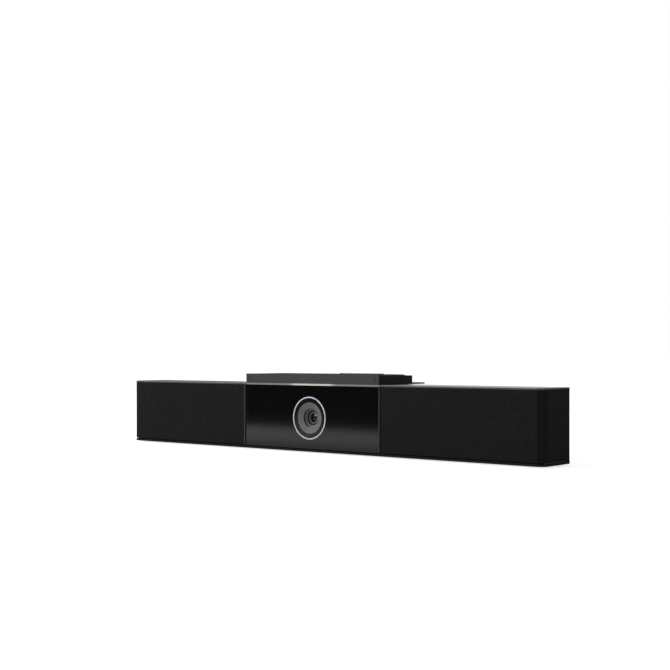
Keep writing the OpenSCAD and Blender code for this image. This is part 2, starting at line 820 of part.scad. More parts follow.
module main_board() color("#1d4d2c") from_front()
    box([-main_board_half, main_board_half], [main_board_y, main_board_y + board_t], main_board_z);

function chip_x(i) = main_board_half * chip_shares[i][0];
function chip_z(i) = main_board_z[0] + (main_board_z[1] - main_board_z[0]) * chip_shares[i][1];

module board_chips() color("#18181a") from_front() for (i = [0 : len(chip_sides) - 1]) {
    half = chip_sides[i] / 2;
    box([chip_x(i) - half, chip_x(i) + half], [main_board_y + board_t, main_board_y + board_t + chip_t],
        [chip_z(i) - half, chip_z(i) + half]);
}

// It sits on the first chip
module heat_sink() color("#8f9296") from_front() {
    base_y = main_board_y + board_t + chip_t;
    sink_x = [chip_x(0) - sink_w / 2, chip_x(0) + sink_w / 2];
    sink_z = [chip_z(0) - sink_h / 2, chip_z(0) + sink_h / 2];
    box(sink_x, [base_y, base_y + sink_base_t], sink_z);
    pitch = (sink_x[1] - sink_x[0] - sink_fin_t) / (sink_fins - 1);
    for (i = [0 : sink_fins - 1])
        box([sink_x[0] + i * pitch, sink_x[0] + i * pitch + sink_fin_t],
            [base_y + sink_base_t, base_y + sink_base_t + sink_fin_l], sink_z);
}

module port_board() color("#1d4d2c") from_front()
    box([bay_x, bay_x + bay_w], port_board_y, [port_board_z, port_top]);

module usb_c_port() color("#a8aaad") from_front() difference() {
    box([usb_x - usb_w / 2, usb_x + usb_w / 2], [bay_floor + usb_proud - usb_l, bay_floor + usb_proud],
        [port_top, port_top + usb_h]);
    difference() {
        box([usb_x - usb_w / 2 + usb_wall, usb_x + usb_w / 2 - usb_wall],
            [bay_floor - usb_l + wall, bay_floor + over], [port_top + usb_wall, port_top + usb_h - usb_wall]);
        box([usb_x - usb_tongue_w / 2, usb_x + usb_tongue_w / 2], [bay_floor - usb_l, bay_floor],
            [port_top + usb_h / 2 - usb_wall, port_top + usb_h / 2 + usb_wall]);
    }
}

module dc_jack() color("#161617") from_front() {
    axis_z = port_top + jack_h / 2;
    front = bay_in - glue_gap;
    difference() {
        box([jack_x - jack_w / 2, jack_x + jack_w / 2], [front - jack_l, front],
            [port_top, port_top + jack_h]);
        rod_y(jack_r, [front - jack_l + jack_floor, front + over], jack_x, axis_z);
    }
    rod_y(jack_pin_r, [front - jack_l + jack_floor, front], jack_x, axis_z);
}

module reset_button() color("#4a4a4d") from_front() {
    flange_y = bay_in - seat_gap - button_flange_t;
    rod_y(button_r, [flange_y - button_back, bay_floor + button_proud], button_x, button_z);
    rod_y(button_flange_r, [flange_y, flange_y + button_flange_t], button_x, button_z);
}

module button_switch() color("#b5b5b8") from_front() {
    top = bay_in - seat_gap - button_flange_t - button_back - button_travel - switch_gap;
    box([button_x - switch_w / 2, button_x + switch_w / 2], [top - switch_l, top],
        [port_top, port_top + switch_w]);
}

// Fixings

module security_plate() color("#a8aaad") from_front() difference() {
    box([lock_x - lock_plate_w / 2, lock_x + lock_plate_w / 2], [hump_in_back - wall, hump_in_back],
        [insert_z - lock_plate_h / 2, insert_z + lock_plate_h / 2]);
    box([lock_x - lock_w / 2, lock_x + lock_w / 2], [hump_in_back - wall - over, hump_in_back + over],
        [insert_z - lock_h / 2, insert_z + lock_h / 2]);
}

module tripod_insert() color("#b08d4a") from_front() difference() {
    rod_z(tripod_r + tripod_insert_wall, [0, tripod_l], 0, tripod_y);
    rod_z(tripod_r, [-over, tripod_l + over], 0, tripod_y);
}

module wall_inserts() color("#b08d4a") from_front() for (s = [-1, 1]) difference() {
    rod_y(insert_r + insert_wall, [hump_back - insert_l, hump_back], s * insert_spacing / 2, insert_z);
    rod_y(insert_r, [hump_back - insert_l - over, hump_back + over], s * insert_spacing / 2, insert_z);
}

module foot_strip(x, y) translate([(x[0] + x[1]) / 2, 0, -foot_h]) linear_extrude(foot_h)
    round_rect(abs(x[1] - x[0]), [y, y + foot_strip_w], foot_strip_w / 2 - glue_gap);

module rubber_feet() color("#232324") from_front() for (s = [-1, 1]) {
    foot_strip(s * bar_w / 2 * front_foot_shares, front_foot_y);
    foot_strip(s * hump_w / 2 * rear_foot_shares, rear_foot_y);
}

module housing_screws() color("#2a2a2c") from_front() for (s = [-1, 1], x = screw_x, z = screw_z) {
    rod_y(screw_r, [end_d - screw_l, end_d], s * x, z);
    difference() {
        rod_y(screw_head_r, [end_d, end_d + screw_head_t], s * x, z);
        rod_y(screw_r - glue_gap, [end_d + screw_head_t / 2, end_d + screw_head_t + over], s * x, z, $fn = 6);
    }
}

module bracket_screws() color("#77797c") from_front() for (s = [-1, 1], z = bracket_screw_z) {
    x = s * bracket_screw_x;
    rod_y(bracket_screw_r, [bracket_back - bracket_screw_l, bracket_back], x, z);
    difference() {
        rod_y(bracket_head_r, [bracket_back, bracket_back + bracket_head_t], x, z);
        rod_y(bracket_screw_r, [bracket_back + bracket_head_t / 2, bracket_back + bracket_head_t + over],
            x, z, $fn = 6);
    }
}

// Clamp

// Steel angle: a plate over the bar, a flange screwed to the hump and two ears for the hinge pin
module clamp_base_plate() color("#1e1e20") from_front() difference() {
    union() {
        box([-clamp_w / 2, clamp_w / 2], [block_front, bracket_back], [bar_h, bar_h + bracket_t]);
        box([-flange_w / 2, flange_w / 2], [hump_back, bracket_back], [bar_h - flange_h, bar_h + bracket_t]);
        for (s = [-1, 1]) {
            x = [min(s * ear_x, s * (ear_x + ear_t)), max(s * ear_x, s * (ear_x + ear_t))];
            rod_x(ear_r, x, hinge_y, hinge_z);
            side_profile(x) polygon([
                [bracket_back - bracket_t / 2, bar_h + bracket_t],
                [bracket_back - bracket_t / 2, bar_h - ear_web_h],
                [hinge_y + ear_r, hinge_z],
                [hinge_y, hinge_z + ear_r]
            ]);
        }
    }
    rod_x(hinge_pin_r + glue_gap, [-clamp_w, clamp_w], hinge_y, hinge_z);
    for (s = [-1, 1], z = bracket_screw_z)
        rod_y(bracket_screw_r + glue_gap, [hump_back - over, bracket_back + over], s * bracket_screw_x, z);
}

module clamp_block() color("#26262a") from_front() difference() {
    translate([0, 0, block_z[0]]) linear_extrude(block_z[1] - block_z[0])
        round_rect(clamp_w, [block_front, block_d], block_r);
    pocket = (clamp_w - block_wall) / block_pockets;
    for (i = [0 : block_pockets - 1]) {
        x = -clamp_w / 2 + block_wall + i * pocket;
        box([x, x + pocket - block_wall], [block_front + block_wall, block_d - block_wall],
            [block_z[0] - over, block_z[1] - block_wall]);
    }
}

module clamp_front_plate() color("#6f6f72") from_front() difference() {
    box([-clamp_w / 2, clamp_w / 2], [0, front_plate_t], [bar_h + glue_gap, clamp_top]);
    for (s = [-1, 1])
        box([s * mark_x - mark_w / 2, s * mark_x + mark_w / 2], [-over, mark_depth],
            [bar_h + mark_margin, clamp_top - mark_margin]);
}

module clamp_top_pad() color("#303032") from_front() translate([0, 0, block_z[1]]) linear_extrude(top_pad_t)
    round_rect(clamp_w - 2 * pad_margin, [block_front + pad_margin / 2, block_d - pad_margin], block_r);

module clamp_hinge_pin() color("#a8aaad") from_front()
    rod_x(hinge_pin_r, [-ear_x - ear_t - bracket_t, ear_x + ear_t + bracket_t], hinge_y, hinge_z);

module clamp_leg() color("#222225") from_front() {
    neck_z = foot_z + foot_boss_r + foot_gap + leg_t / 2;
    difference() {
        union() {
            rod_x(ear_r, [-knuckle_half, knuckle_half], hinge_y, hinge_z);
            box([-leg_w / 2, leg_w / 2], [hinge_y - leg_t / 2, hinge_y + leg_t / 2], [neck_z, hinge_z]);
            box([-leg_end_half, leg_end_half], [hinge_y - leg_t / 2, hinge_y + leg_t / 2],
                [foot_z - foot_boss_r, neck_z + over]);
            rod_x(foot_boss_r, [-leg_end_half, leg_end_half], foot_y, foot_z);
            box([-leg_end_half, leg_end_half], [hinge_y, foot_y],
                [foot_z - foot_boss_r, foot_z + foot_boss_r]);
        }
        rod_x(hinge_pin_r + run_fit, [-clamp_w, clamp_w], hinge_y, hinge_z);
        rod_x(foot_pin_r + run_fit, [-clamp_w, clamp_w], foot_y, foot_z);
    }
}

module clamp_foot_pin() color("#a8aaad") from_front() {
    half = leg_end_half + foot_gap + foot_lug_t;
    rod_x(foot_pin_r, [-half, half], foot_y, foot_z);
}

module foot_outline(w, l) translate([0, foot_z]) round_rect(w, [-l / 2, l / 2], foot_r);

module clamp_foot() color("#222225") from_front() difference() {
    union() {
        translate([0, foot_plate_y + foot_t, 0]) rotate([90, 0, 0]) linear_extrude(foot_t)
            foot_outline(foot_w, foot_l);
        for (s = [-1, 1]) {
            near = s * (leg_end_half + foot_gap);
            far = s * (leg_end_half + foot_gap + foot_lug_t);
            rod_x(foot_boss_r, [min(near, far), max(near, far)], foot_y, foot_z);
            box([min(near, far), max(near, far)], [foot_y, foot_plate_y + foot_t / 2],
                [foot_z - foot_boss_r, foot_z + foot_boss_r]);
        }
    }
    rod_x(foot_pin_r + glue_gap, [-clamp_w, clamp_w], foot_y, foot_z);
}

module clamp_foot_pad() color("#3b3b3e") from_front() translate([0, overall_d, 0]) rotate([90, 0, 0])
    linear_extrude(foot_pad_t) foot_outline(foot_w - foot_r, foot_l - foot_r);

top_cover();
bottom_cover();
rear_housing();
chassis();
grille_frame(-1);  // left_grille_frame
grille_frame(1);  // right_grille_frame
grille_cloth(-1);  // left_grille_cloth
grille_cloth(1);  // right_grille_cloth
panel_trims();
front_window();
panel_carrier();
light_bar();
led_board();
status_leds();
lens_ring();
lens_bezel();
lens_hood();
lens_front_element();
lens_barrel();
inner_lens_elements();
lens_holder();
image_sensor();
camera_board();
camera_ribbon();
microphone_boards();
microphones();
speaker_box(-1);  // left_speaker_box
speaker_box(1);  // right_speaker_box
speaker_basket(-1);  // left_speaker_basket
speaker_basket(1);  // right_speaker_basket
speaker_magnet(-1);  // left_speaker_magnet
speaker_magnet(1);  // right_speaker_magnet
speaker_cone(-1);  // left_speaker_cone
speaker_cone(1);  // right_speaker_cone
speaker_surround(-1);  // left_speaker_surround
speaker_surround(1);  // right_speaker_surround
main_board();
board_chips();
heat_sink();
port_board();
usb_c_port();
dc_jack();
reset_button();
button_switch();
security_plate();
tripod_insert();
wall_inserts();
rubber_feet();
housing_screws();
bracket_screws();
clamp_base_plate();
clamp_block();
clamp_front_plate();
clamp_top_pad();
clamp_hinge_pin();
clamp_leg();
clamp_foot_pin();
clamp_foot();
clamp_foot_pad();
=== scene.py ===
import math

import bpy
from mathutils import Matrix, Vector


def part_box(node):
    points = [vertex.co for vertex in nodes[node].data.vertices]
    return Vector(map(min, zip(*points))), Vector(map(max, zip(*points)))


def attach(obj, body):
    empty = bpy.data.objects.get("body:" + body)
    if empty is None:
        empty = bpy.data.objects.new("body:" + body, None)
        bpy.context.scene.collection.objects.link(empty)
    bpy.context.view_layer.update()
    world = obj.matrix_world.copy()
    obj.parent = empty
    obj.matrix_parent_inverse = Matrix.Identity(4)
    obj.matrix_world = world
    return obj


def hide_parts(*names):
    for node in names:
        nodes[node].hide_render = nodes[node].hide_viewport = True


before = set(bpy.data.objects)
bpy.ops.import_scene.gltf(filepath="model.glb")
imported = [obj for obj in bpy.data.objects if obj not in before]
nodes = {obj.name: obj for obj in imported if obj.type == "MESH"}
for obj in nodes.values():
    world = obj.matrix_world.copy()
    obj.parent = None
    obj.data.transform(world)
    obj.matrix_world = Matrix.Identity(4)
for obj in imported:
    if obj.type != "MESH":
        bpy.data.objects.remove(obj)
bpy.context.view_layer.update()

scene = bpy.context.scene
mm = 0.001
metre = 1000  # in mm


# Small helpers

def linear(code, alpha=1.0):
    # sRGB hex to a linear colour
    parts = [int(code[i:i + 2], 16) / 255 for i in (1, 3, 5)]
    return tuple(c / 12.92 if c <= 0.04045 else ((c + 0.055) / 1.055) ** 2.4 for c in parts) + (alpha,)


def add(tree, kind, settings=None, links=None, **props):
    # One node, with its own settings, its sockets' values and the links into it
    node = tree.nodes.new(kind)
    for name, value in props.items():
        setattr(node, name, value)
    for name, value in (settings or {}).items():
        node.inputs[name].default_value = value
    for name, socket in (links or {}).items():
        tree.links.new(socket, node.inputs[name])
    return node


def meshObject(name, vertices, faces, material=None, smooth=True):
    mesh = bpy.data.meshes.new(name)
    mesh.from_pydata([Vector(v) * mm for v in vertices], [], faces)
    mesh.validate()
    if smooth:
        mesh.shade_smooth()
    piece = bpy.data.objects.new(name, mesh)
    scene.collection.objects.link(piece)
    if material:
        mesh.materials.append(material)
    return piece


# Camera, solved from the photo's edges, lens rings and clamp

# place, lens and sensor in mm, turn in degrees, shift in sensor widths, near and far in metres
view = {"place": (631.4, -767.8, 77.5), "upright": 90, "turn": 39.68, "lens": 64.1, "sensor": 36,
        "shift": 0.0331, "near": 0.02, "far": 60}
camera = bpy.data.objects.new("camera", bpy.data.cameras.new("camera"))
camera.location = Vector(view["place"]) * mm
camera.rotation_euler = (math.radians(view["upright"]), 0, math.radians(view["turn"]))
camera.data.lens = view["lens"]
camera.data.sensor_width = view["sensor"]
camera.data.shift_y = view["shift"]
camera.data.clip_start = view["near"]
camera.data.clip_end = view["far"]
scene.collection.objects.link(camera)
scene.camera = camera
print("camera ready")

# Studio: a white world, a soft key lamp at the front left, a rim lamp behind the right end, a small lamp
# for the glint in the lens, a pale paper floor, and three black cards that only reflections see: one in front
# for the window, one beside the right end for the sheen of its cloth, and one behind the left half, which
# darkens the top cover

# lamps are in metres and watts, the cards and the paper's two places in mm, and the rest are strengths
studio = {
    "world": 0.32,
    "key": {"place": (-1.45, -1.25, 1.35), "aim": (0, 0, 0.03), "size": 1.1, "power": 28.5},
    "rim": {"place": (1.6, 1.0, 0.9), "aim": (0, 0, 0.03), "size": 1.0, "power": 0.4},
    "glint": {"place": (-0.47, -1.4, 0.52), "aim": (0, 0, 0.03), "size": 0.16, "power": 2.2},
    # first corner, last corner and height of each card
    "cards": {"front card": ((-960, -290), (540, -290), 86), "side card": ((400, -100), (400, 900), 260),
              "rear card": ((-1200, 230), (-330, 230), 160)},
    "card shade": 0.002,
    "paper": {"shade": 0.9, "to camera": 0.74, "to mirrors": 0.46, "shaded to": -90, "lit from": -170},
}
scene.view_settings.view_transform = "Standard"
world = bpy.data.worlds.new("studio white")
scene.world = world
world.use_nodes = True
world.node_tree.nodes.clear()
rays = add(world.node_tree, "ShaderNodeLightPath")
mirrored = add(world.node_tree, "ShaderNodeMath", operation="MAXIMUM",
               links={0: rays.outputs["Is Glossy Ray"], 1: rays.outputs["Is Transmission Ray"]})
seen = add(world.node_tree, "ShaderNodeMath", operation="MAXIMUM",
           links={0: rays.outputs["Is Camera Ray"], 1: mirrored.outputs[0]})
level = add(world.node_tree, "ShaderNodeMapRange", {"To Min": studio["world"], "To Max": 1.0},
            {"Value": seen.outputs[0]})
sky = add(world.node_tree, "ShaderNodeBackground", {"Color": (1, 1, 1, 1)}, {"Strength": level.outputs[0]})
add(world.node_tree, "ShaderNodeOutputWorld", links={"Surface": sky.outputs[0]})

for name in ("key", "rim", "glint"):
    spec = studio[name]
    lamp = bpy.data.objects.new(name + " lamp", bpy.data.lights.new(name + " lamp", "AREA"))
    lamp.data.shape = "SQUARE"
    lamp.data.size = spec["size"]
    lamp.data.energy = spec["power"]
    lamp.location = spec["place"]
    lamp.rotation_euler = (Vector(spec["aim"]) - lamp.location).to_track_quat("-Z", "Y").to_euler()
    scene.collection.objects.link(lamp)

# Seamless paper: matt and white to the camera, and it keeps the object's soft shadow
paper = bpy.data.materials.new("pale seamless paper")
paper.use_nodes = True
paper.cycles.emission_sampling = "NONE"  # its lift lights nothing, so no light samples are spent on it
tree = paper.node_tree
tree.nodes.clear()
shade = studio["paper"]["shade"]
matt = add(tree, "ShaderNodeBsdfDiffuse", {"Color": (shade, shade, shade, 1)})
rays = add(tree, "ShaderNodeLightPath")
# painted shade: the glow that mirrors see falls off towards the bar, in place of the shade the bar casts on
# the paper
ground = add(tree, "ShaderNodeNewGeometry").outputs["Position"]
spot = add(tree, "ShaderNodeSeparateXYZ", links={"Vector": ground})
mirrorShadeRamp = add(tree, "ShaderNodeMapRange", {"From Min": studio["paper"]["shaded to"] * mm,
           "From Max": studio["paper"]["lit from"] * mm, "To Max": studio["paper"]["to mirrors"]},
           {"Value": spot.outputs["Y"]})
toMirrors = add(tree, "ShaderNodeMath", links={0: rays.outputs["Is Glossy Ray"], 1: mirrorShadeRamp.outputs[0]},
                operation="MULTIPLY")
extra = add(tree, "ShaderNodeMath", {1: studio["paper"]["to camera"]},
            {0: rays.outputs["Is Camera Ray"], 2: toMirrors.outputs[0]}, operation="MULTIPLY_ADD")
lift = add(tree, "ShaderNodeEmission", {"Color": (1, 1, 1, 1)}, {"Strength": extra.outputs[0]})
both = add(tree, "ShaderNodeAddShader", links={0: matt.outputs[0], 1: lift.outputs[0]})
add(tree, "ShaderNodeOutputMaterial", links={"Surface": both.outputs[0]})
# a hair below the feet, so that the two faces never flicker
reach, low = 9000, -0.05
floor = meshObject("floor", [(-reach, -reach, low), (reach, -reach, low), (reach, reach, low),
                   (-reach, reach, low)], [(0, 1, 2, 3)], paper, smooth=False)

blackCard = bpy.data.materials.new("black card")
blackCard.use_nodes = True
blackCard.node_tree.nodes.clear()
shade = studio["card shade"]
flock = add(blackCard.node_tree, "ShaderNodeBsdfDiffuse", {"Color": (shade, shade, shade, 1)})
add(blackCard.node_tree, "ShaderNodeOutputMaterial", links={"Surface": flock.outputs[0]})
for name, (start, end, top) in studio["cards"].items():
    card = meshObject(name, [(*start, 0), (*end, 0), (*end, top), (*start, top)], [(0, 1, 2, 3)], blackCard,
                      smooth=False)
    card.visible_camera = False
    card.visible_diffuse = False
    card.visible_shadow = False
    card.visible_transmission = False
print("studio ready")

# Materials: each starts from the real finish, with slow colour drift, uneven gloss and a fine grain in mm

# What all finishes share: the part of the noise that is used, how far the gloss strays from its roughness,
# and how many times finer the uneven gloss is than the colour drift
shared = {"low": 0.3, "high": 0.7, "gloss": 0.12, "finer": 3}


def finish(name, color, roughness, metallic=0.0, ior=1.5, specular=0.5, patch=12, spread=0.08, grain=0.35,
           depth=0.012, stretch=(1, 1, 1)):
    material = bpy.data.materials.new(name)
    material.use_nodes = True
    tree = material.node_tree
    tree.nodes.clear()
    settings = {"Metallic": metallic}
    if metallic < 1:
        settings.update({"IOR": ior, "Specular IOR Level": specular})
    shader = add(tree, "ShaderNodeBsdfPrincipled", settings)
    add(tree, "ShaderNodeOutputMaterial", links={"Surface": shader.outputs[0]})
    place = add(tree, "ShaderNodeTexCoord").outputs["Object"]
    drift = add(tree, "ShaderNodeTexNoise", {"Scale": metre / patch, "Detail": 3.0}, {"Vector": place})
    tones = add(tree, "ShaderNodeValToRGB", links={"Fac": drift.outputs["Fac"]})
    base = linear(color)
    for stop, end, share in zip(tones.color_ramp.elements, ("low", "high"), (1 - spread, 1 + spread)):
        stop.position = shared[end]
        stop.color = tuple(min(1, c * share) for c in base[:3]) + (1,)
    tree.links.new(tones.outputs["Color"], shader.inputs["Base Color"])
    wear = add(tree, "ShaderNodeTexNoise", {"Scale": shared["finer"] * metre / patch, "Detail": 2.0},
               {"Vector": place})
    gloss = add(tree, "ShaderNodeMapRange", {"From Min": shared["low"], "From Max": shared["high"],
                "To Min": roughness * (1 - shared["gloss"]), "To Max": roughness * (1 + shared["gloss"])},
                {"Value": wear.outputs["Fac"]})
    tree.links.new(gloss.outputs[0], shader.inputs["Roughness"])
    along = add(tree, "ShaderNodeMapping", {"Scale": stretch}, {"Vector": place})
    grit = add(tree, "ShaderNodeTexNoise", {"Scale": metre / grain, "Detail": 2.0},
               {"Vector": along.outputs[0]})
    skin = add(tree, "ShaderNodeBump", {"Strength": 1.0, "Distance": depth * mm},
               {"Height": grit.outputs["Fac"]})
    tree.links.new(skin.outputs["Normal"], shader.inputs["Normal"])
    return material, tree, shader, place


# Plain finishes, one line each: what the real one is called, and its values
finishes = {
    # fine matt mould texture that scatters light into a soft sheen
    "coverAbs": dict(name="satin moulded ABS", color="#4e4e50", roughness=0.3, grain=0.8, depth=0.006),
    "baseAbs": dict(name="matt moulded ABS", color="#19191b", roughness=0.5, specular=0.1, grain=0.3,
                    depth=0.01),
    "housingAbs": dict(name="spark eroded ABS", color="#161618", roughness=0.55, specular=0.12, grain=0.5,
                       depth=0.03),
    "trimAbs": dict(name="trim ABS", color="#19191b", roughness=0.6, specular=0.1),
    "carrierAbs": dict(name="carrier ABS", color="#202022", roughness=0.6),
    # moulded against a polished tool, so it mirrors softly
    "bezelPc": dict(name="gloss bezel polycarbonate", color="#131315", roughness=0.16, ior=1.58,
                    specular=0.35, grain=2.0, depth=0.004),
    # coarse spark texture that keeps fingerprints off the clamp
    "clampPlastic": dict(name="textured clamp nylon", color="#212124", roughness=0.55, specular=0.15,
                         grain=0.6, depth=0.04),
    # powder coat with a faint orange peel
    "bracketCoat": dict(name="black powder coat on steel", color="#121214", roughness=0.5, specular=0.25,
                        grain=0.8, depth=0.03),
    "legCoat": dict(name="powder coated die casting", color="#1b1b1e", roughness=0.42, grain=0.7,
                    depth=0.025),
    # dull and slightly dusty
    "rubber": dict(name="moulded silicone rubber", color="#1e1e1f", roughness=0.72, specular=0.2, grain=0.4,
                   depth=0.02),
    "gel": dict(name="soft gel pad", color="#2c2c2f", roughness=0.5, specular=0.3, grain=1.5, depth=0.02),
    # rolling marks run along the sheet
    "bareAluminium": dict(name="bare aluminium sheet", color="#b9babc", roughness=0.34, metallic=1.0,
                          grain=0.2, depth=0.004, stretch=(0.04, 1, 1)),
    # satin blasted and dyed, so the nose of the barrel reads as a grey ring
    "anodisedGrey": dict(name="grey anodised aluminium", color="#6a6a6c", roughness=0.45, metallic=0.3,
                         specular=0.3, grain=0.2, depth=0.004),
    "platedSteel": dict(name="nickel plated steel", color="#8c8c8f", roughness=0.36, metallic=1.0, grain=0.3,
                        depth=0.003),
    # grinding marks run along the pin
    "groundSteel": dict(name="ground steel pin", color="#9c9da0", roughness=0.3, metallic=1.0, grain=0.15,
                        depth=0.004, stretch=(0.03, 1, 1)),
    "blackScrew": dict(name="black oxide steel", color="#2a2a2c", roughness=0.4, metallic=1.0),
    "brass": dict(name="turned brass", color="#b8924e", roughness=0.3, metallic=1.0, grain=0.15, depth=0.005,
                  stretch=(1, 1, 0.1)),
    "board": dict(name="green solder mask", color="#1c4a2b", roughness=0.35, grain=1.4, depth=0.012, patch=3,
                  spread=0.2),
    "chip": dict(name="chip epoxy", color="#17171a", roughness=0.5),
    "ledSilicone": dict(name="phosphor silicone", color="#e9e2b4", roughness=0.35, patch=1, spread=0.1),
    "sensorGlass": dict(name="sensor cover glass", color="#2a2a4c", roughness=0.1),
    "film": dict(name="polyimide film", color="#c9bf9c", roughness=0.4, grain=0.5, depth=0.01,
                 stretch=(1, 0.02, 0.02)),
    "boxAbs": dict(name="speaker box ABS", color="#28282a", roughness=0.6),
    "basketLacquer": dict(name="lacquered pressed steel", color="#333336", roughness=0.35),
    "ferrite": dict(name="ferrite and zinc", color="#6a6b6e", roughness=0.5, metallic=0.6),
    # fibres give the pressed paper a felt-like skin
    "paper": dict(name="coated speaker paper", color="#1c1c1c", roughness=0.75, grain=0.9, depth=0.05),
    "jackNylon": dict(name="jack nylon", color="#19191b", roughness=0.3),
    "buttonAbs": dict(name="button ABS", color="#48484b", roughness=0.45, grain=0.3, depth=0.01),
    # multicoated glass sends back only about 1 percent, so it looks black apart from the glint of a lamp
    "lens": dict(name="multicoated lens glass", color="#060609", roughness=0.06, ior=1.6, specular=0.4,
                 patch=4, grain=6, depth=0.0005),
    # graphite anodised plate, drawn along its length
    "clampFront": dict(name="graphite anodised aluminium", color="#3d3d3f", roughness=0.5, metallic=0.2,
                       specular=0.25, patch=30, spread=0.05, grain=0.25, depth=0.004, stretch=(0.03, 1, 1)),
}
made = {key: finish(**spec)[0] for key, spec in finishes.items()}

# Two pieces whose faces and cut ends differ, and the cut ends line the grooves beside the window.
# Polished black acrylic mirrors the paper with a trace of haze; its sawn edges are rougher and painted light
# grey, a painted highlight where the groove wall catches the light. The grille frame is dark satin, and its
# ends beside the grooves carry the same painted highlight.
paintedLitEnds = {
    "acrylic": dict(name="polished black acrylic", color="#0d0d0d", roughness=0.1, ior=1.49, patch=60,
                    grain=25, depth=0.0015, edge="#7c7c7f", frost=0.6),
    "frameAbs": dict(name="grille frame ABS", color="#18181a", roughness=0.5, specular=0.1, grain=0.3,
                     depth=0.01, edge="#8a8a8d", frost=0.5),
}
sideways = 0.9  # a face is a cut end where its normal has more than this of X
for key, spec in paintedLitEnds.items():
    edge, frost = spec.pop("edge"), spec.pop("frost")
    made[key], tree, shader = finish(**spec)[:3]
    facing = add(tree, "ShaderNodeNewGeometry").outputs["Normal"]
    across = add(tree, "ShaderNodeVectorMath", {1: (1, 0, 0)}, {0: facing}, operation="DOT_PRODUCT")
    amount = add(tree, "ShaderNodeMath", links={0: across.outputs["Value"]}, operation="ABSOLUTE")
    cut = add(tree, "ShaderNodeMath", {1: sideways}, {0: amount.outputs[0]}, operation="GREATER_THAN")
    # painted highlight: the cut ends take the light grey edge colour in place of the lit groove wall
    paintedShadingTone = add(tree, "ShaderNodeMixRGB", {"Color1": linear(spec["color"]), "Color2": linear(edge)},
               {"Fac": cut.outputs[0]})
    gloss = add(tree, "ShaderNodeMapRange", {"To Min": spec["roughness"], "To Max": frost},
                {"Value": cut.outputs[0]})
    tree.links.new(paintedShadingTone.outputs[0], shader.inputs["Base Color"])
    tree.links.new(gloss.outputs[0], shader.inputs["Roughness"])

# Frosted light guide: an even grey edge, and pale yellow-green where the lamps behind it are on.
# The centre and half width of the lit stretch are in mm, and its stops are shares of that stretch.
guide = {"centre": 2.6, "halfWidth": 29.0, "glow": 0.45,
         "stops": ((0.08, "#5c5c52"), (0.2, "#e6e8c8"), (0.8, "#e6e8c8"), (0.92, "#5c5c52"))}
made["guide"], tree, shader, place = finish(name="frosted light guide", color="#86868c", roughness=0.35,
                                            patch=6, spread=0.05)
axes = add(tree, "ShaderNodeSeparateXYZ", links={"Vector": place})
along = add(tree, "ShaderNodeMapRange", {"From Min": (guide["centre"] - guide["halfWidth"]) * mm,
            "From Max": (guide["centre"] + guide["halfWidth"]) * mm}, {"Value": axes.outputs["X"]})
glow = add(tree, "ShaderNodeValToRGB", links={"Fac": along.outputs[0]})
glow.color_ramp.interpolation = "EASE"
for stop in glow.color_ramp.elements:
    stop.color = (0, 0, 0, 1)
for position, code in guide["stops"]:
    glow.color_ramp.elements.new(position).color = linear(code)
shader.inputs["Emission Strength"].default_value = guide["glow"]
tree.links.new(glow.outputs["Color"], shader.inputs["Emission Color"])

# Turned finishes round the lens: fine concentric marks, as a lathe leaves them on the ring and on the
# mould of the hood. The real marks are about 0.1 mm apart, drawn coarser so that they show.
lensAxis = (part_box("lens_ring")[0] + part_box("lens_ring")[1]) / 2
turned = {
    "ring": dict(name="diamond cut aluminium", color="#dededf", roughness=0.42, metallic=1.0, pitch=0.4,
                 marks=0.004, patch=4, spread=0.05, grain=0.3, depth=0.003),
    "hood": dict(name="matt grey lens hood", color="#6a6a6c", roughness=0.6, metallic=0.0, specular=0.25,
                 pitch=0.8, marks=0.03, patch=4, spread=0.14, grain=0.35, depth=0.04, paintedShadeWalls="#1c1c1e"),
}
steepBelow = 0.25  # a wall is steep where its normal has less than this of Y
for key, spec in turned.items():
    pitch, marks, paintedShadeWalls = spec.pop("pitch"), spec.pop("marks"), spec.pop("paintedShadeWalls", None)
    made[key], tree, shader, place = finish(**spec)
    offset = add(tree, "ShaderNodeVectorMath", {1: lensAxis}, {0: place}, operation="SUBTRACT")
    flat = add(tree, "ShaderNodeVectorMath", {1: (1, 0, 1)}, {0: offset.outputs[0]}, operation="MULTIPLY")
    radius = add(tree, "ShaderNodeVectorMath", links={0: flat.outputs[0]}, operation="LENGTH")
    turns = add(tree, "ShaderNodeMath", {1: 2 * math.pi / (pitch * mm)}, {0: radius.outputs["Value"]},
                operation="MULTIPLY")
    wave = add(tree, "ShaderNodeMath", links={0: turns.outputs[0]}, operation="SINE")
    cut = add(tree, "ShaderNodeBump", {"Strength": 1.0, "Distance": marks * mm},
              {"Height": wave.outputs[0], "Normal": shader.inputs["Normal"].links[0].from_socket})
    tree.links.new(cut.outputs["Normal"], shader.inputs["Normal"])
    if paintedShadeWalls:
        # the steep walls of its steps are painted dark, painted shade in the recesses of the steps that shows
        # as dark crescents
        facing = add(tree, "ShaderNodeNewGeometry").outputs["Normal"]
        forward = add(tree, "ShaderNodeVectorMath", {1: (0, 1, 0)}, {0: facing}, operation="DOT_PRODUCT")
        amount = add(tree, "ShaderNodeMath", links={0: forward.outputs["Value"]}, operation="ABSOLUTE")
        steep = add(tree, "ShaderNodeMath", {1: steepBelow}, {0: amount.outputs[0]}, operation="LESS_THAN")
        paintedShadingTone = add(tree, "ShaderNodeMixRGB", {"Color2": linear(paintedShadeWalls)}, {"Fac": steep.outputs[0],
                   "Color1": shader.inputs["Base Color"].links[0].from_socket})
        tree.links.new(paintedShadingTone.outputs[0], shader.inputs["Base Color"])

